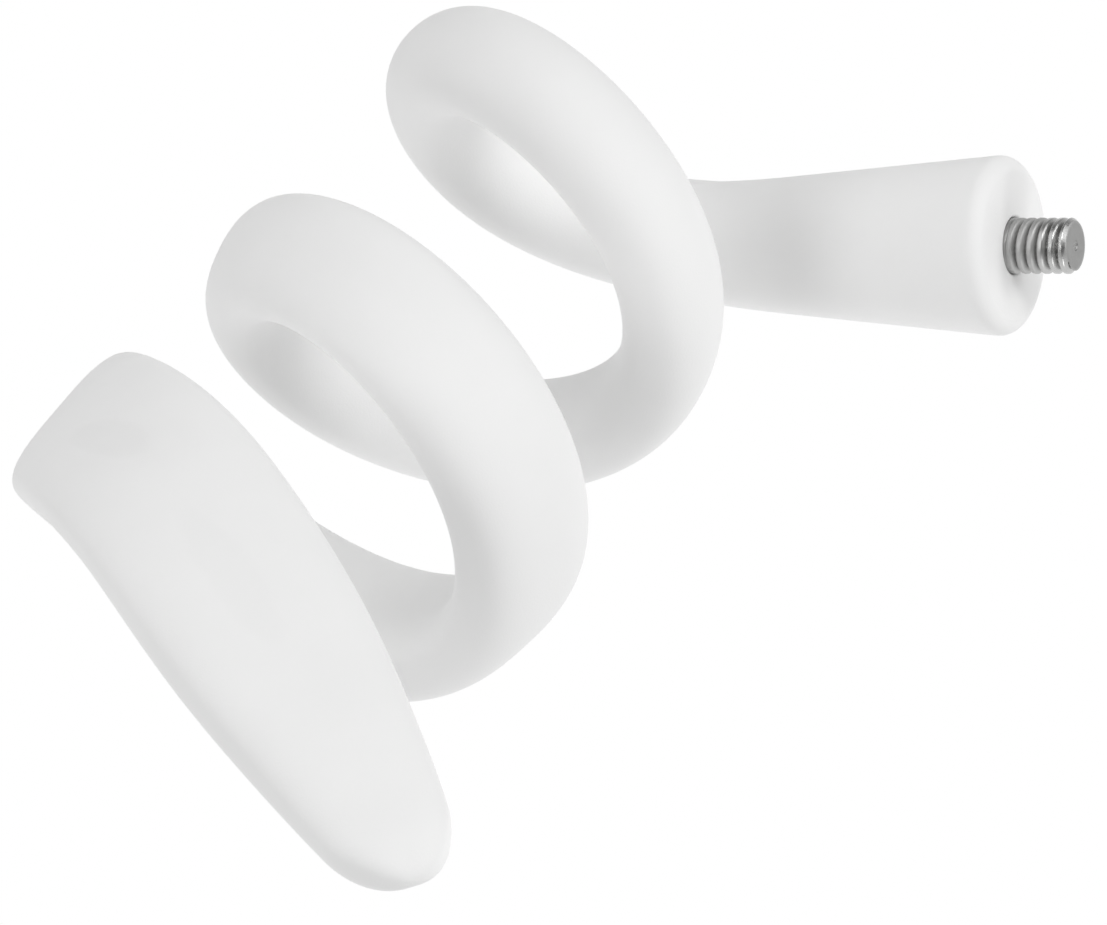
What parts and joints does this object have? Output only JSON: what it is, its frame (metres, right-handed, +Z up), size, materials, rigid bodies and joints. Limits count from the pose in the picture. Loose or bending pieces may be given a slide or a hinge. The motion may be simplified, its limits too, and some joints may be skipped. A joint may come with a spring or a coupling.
{
  "type": "flexible twist mount arm",
  "caption": "Bendable silicone-covered arm wound as an open coil, with a conical head carrying a short threaded camera stud and a flat rounded tongue at the other end.",
  "frame": {"origin": "on the coil's axis in the middle of the wound length, where a pole or rail that the coil grips would run", "axes": "+X along the coil's axis towards the head, +Z up, +Y completing a right-handed frame"},
  "size_m": [0.1409, 0.0819, 0.0863],
  "materials": {
    "silicone": "fine matte moulded silicone",
    "core_wire": "drawn, annealed",
    "nylon": "moulded",
    "ferrule": "tinned",
    "plated_steel": "bright zinc plating"
  },
  "bodies": {
    "held_turn": {"jacket_08": "silicone", "core_wire_08": "core_wire"},
    "head": {"jacket_00": "silicone", "core_wire_00": "core_wire", "head_insert": "nylon", "wire_ferrule": "ferrule", "camera_stud": "plated_steel"},
    "arm_01": {"jacket_01": "silicone", "core_wire_01": "core_wire"},
    "arm_02": {"jacket_02": "silicone", "core_wire_02": "core_wire"},
    "arm_03": {"jacket_03": "silicone", "core_wire_03": "core_wire"},
    "arm_04": {"jacket_04": "silicone", "core_wire_04": "core_wire"},
    "arm_05": {"jacket_05": "silicone", "core_wire_05": "core_wire"},
    "arm_06": {"jacket_06": "silicone", "core_wire_06": "core_wire"},
    "arm_07": {"jacket_07": "silicone", "core_wire_07": "core_wire"},
    "arm_09": {"jacket_09": "silicone", "core_wire_09": "core_wire"},
    "arm_10": {"jacket_10": "silicone", "core_wire_10": "core_wire"},
    "arm_11": {"jacket_11": "silicone", "core_wire_11": "core_wire"},
    "arm_12": {"jacket_12": "silicone", "core_wire_12": "core_wire"},
    "arm_13": {"jacket_13": "silicone", "core_wire_13": "core_wire"},
    "arm_14": {"jacket_14": "silicone", "core_wire_14": "core_wire"},
    "arm_15": {"jacket_15": "silicone", "core_wire_15": "core_wire"},
    "arm_16": {"jacket_16": "silicone", "core_wire_16": "core_wire"},
    "arm_17": {"jacket_17": "silicone", "core_wire_17": "core_wire"},
    "tip": {"jacket_18": "silicone", "core_wire_18": "core_wire", "end_sleeve": "ferrule"}
  },
  "joints": [
    {"name": "head_tilt", "type": "hinge", "parent": "arm_01", "child": "head", "pos_m": [0.04348, -0.01065, -0.01669], "axis": [0, -0.299, -0.9543], "range_deg": [-30, 30]},
    {"name": "bend_01", "type": "hinge", "parent": "arm_02", "child": "arm_01", "pos_m": [0.0392, 0.00455, -0.01819], "axis": [-1, 0, 0], "range_deg": [-53, 25]},
    {"name": "bend_02", "type": "hinge", "parent": "arm_03", "child": "arm_02", "pos_m": [0.03302, 0.02029, -0.00323], "axis": [-1, 0, 0], "range_deg": [-69, 25]},
    {"name": "bend_03", "type": "hinge", "parent": "arm_04", "child": "arm_03", "pos_m": [0.02812, 0.01133, 0.01699], "axis": [-1, 0, 0], "range_deg": [-66, 25]},
    {"name": "bend_04", "type": "hinge", "parent": "arm_05", "child": "arm_04", "pos_m": [0.02309, -0.01078, 0.01621], "axis": [-1, 0, 0], "range_deg": [-64, 25]},
    {"name": "bend_05", "type": "hinge", "parent": "arm_06", "child": "arm_05", "pos_m": [0.01842, -0.01941, -0.00444], "axis": [-1, 0, 0], "range_deg": [-58, 25]},
    {"name": "bend_06", "type": "hinge", "parent": "arm_07", "child": "arm_06", "pos_m": [0.01143, -0.00599, -0.02179], "axis": [-1, 0, 0], "range_deg": [-58, 25]},
    {"name": "bend_07", "type": "hinge", "parent": "held_turn", "child": "arm_07", "pos_m": [0.00329, 0.01512, -0.01819], "axis": [-1, 0, 0], "range_deg": [-60, 25]},
    {"name": "bend_08", "type": "hinge", "parent": "held_turn", "child": "arm_09", "pos_m": [-0.00231, 0.02174, 0.00305], "axis": [1, 0, 0], "range_deg": [-56, 25]},
    {"name": "bend_09", "type": "hinge", "parent": "arm_09", "child": "arm_10", "pos_m": [-0.0065, 0.0071, 0.02046], "axis": [1, 0, 0], "range_deg": [-54, 25]},
    {"name": "bend_10", "type": "hinge", "parent": "arm_10", "child": "arm_11", "pos_m": [-0.01176, -0.01516, 0.0181], "axis": [1, 0, 0], "range_deg": [-61, 25]},
    {"name": "bend_11", "type": "hinge", "parent": "arm_11", "child": "arm_12", "pos_m": [-0.01729, -0.02305, -0.00254], "axis": [1, 0, 0], "range_deg": [-63, 25]},
    {"name": "bend_12", "type": "hinge", "parent": "arm_12", "child": "arm_13", "pos_m": [-0.02152, -0.0076, -0.01882], "axis": [1, 0, 0], "range_deg": [-60, 25]},
    {"name": "bend_13", "type": "hinge", "parent": "arm_13", "child": "arm_14", "pos_m": [-0.0252, 0.01431, -0.01307], "axis": [1, 0, 0], "range_deg": [-57, 25]},
    {"name": "bend_14", "type": "hinge", "parent": "arm_14", "child": "arm_15", "pos_m": [-0.03219, 0.02101, 0.00795], "axis": [1, 0, 0], "range_deg": [-43, 25]},
    {"name": "bend_15", "type": "hinge", "parent": "arm_15", "child": "arm_16", "pos_m": [-0.04049, 0.01062, 0.02753], "axis": [1, 0, 0], "range_deg": [-30, 25]},
    {"name": "bend_16", "type": "hinge", "parent": "arm_16", "child": "arm_17", "pos_m": [-0.04984, -0.0074, 0.04011], "axis": [1, 0, 0], "range_deg": [-30, 25]},
    {"name": "bend_17", "type": "hinge", "parent": "arm_17", "child": "tip", "pos_m": [-0.06109, -0.02718, 0.04768], "axis": [1, 0, 0], "range_deg": [-30, 25]}
  ]
}
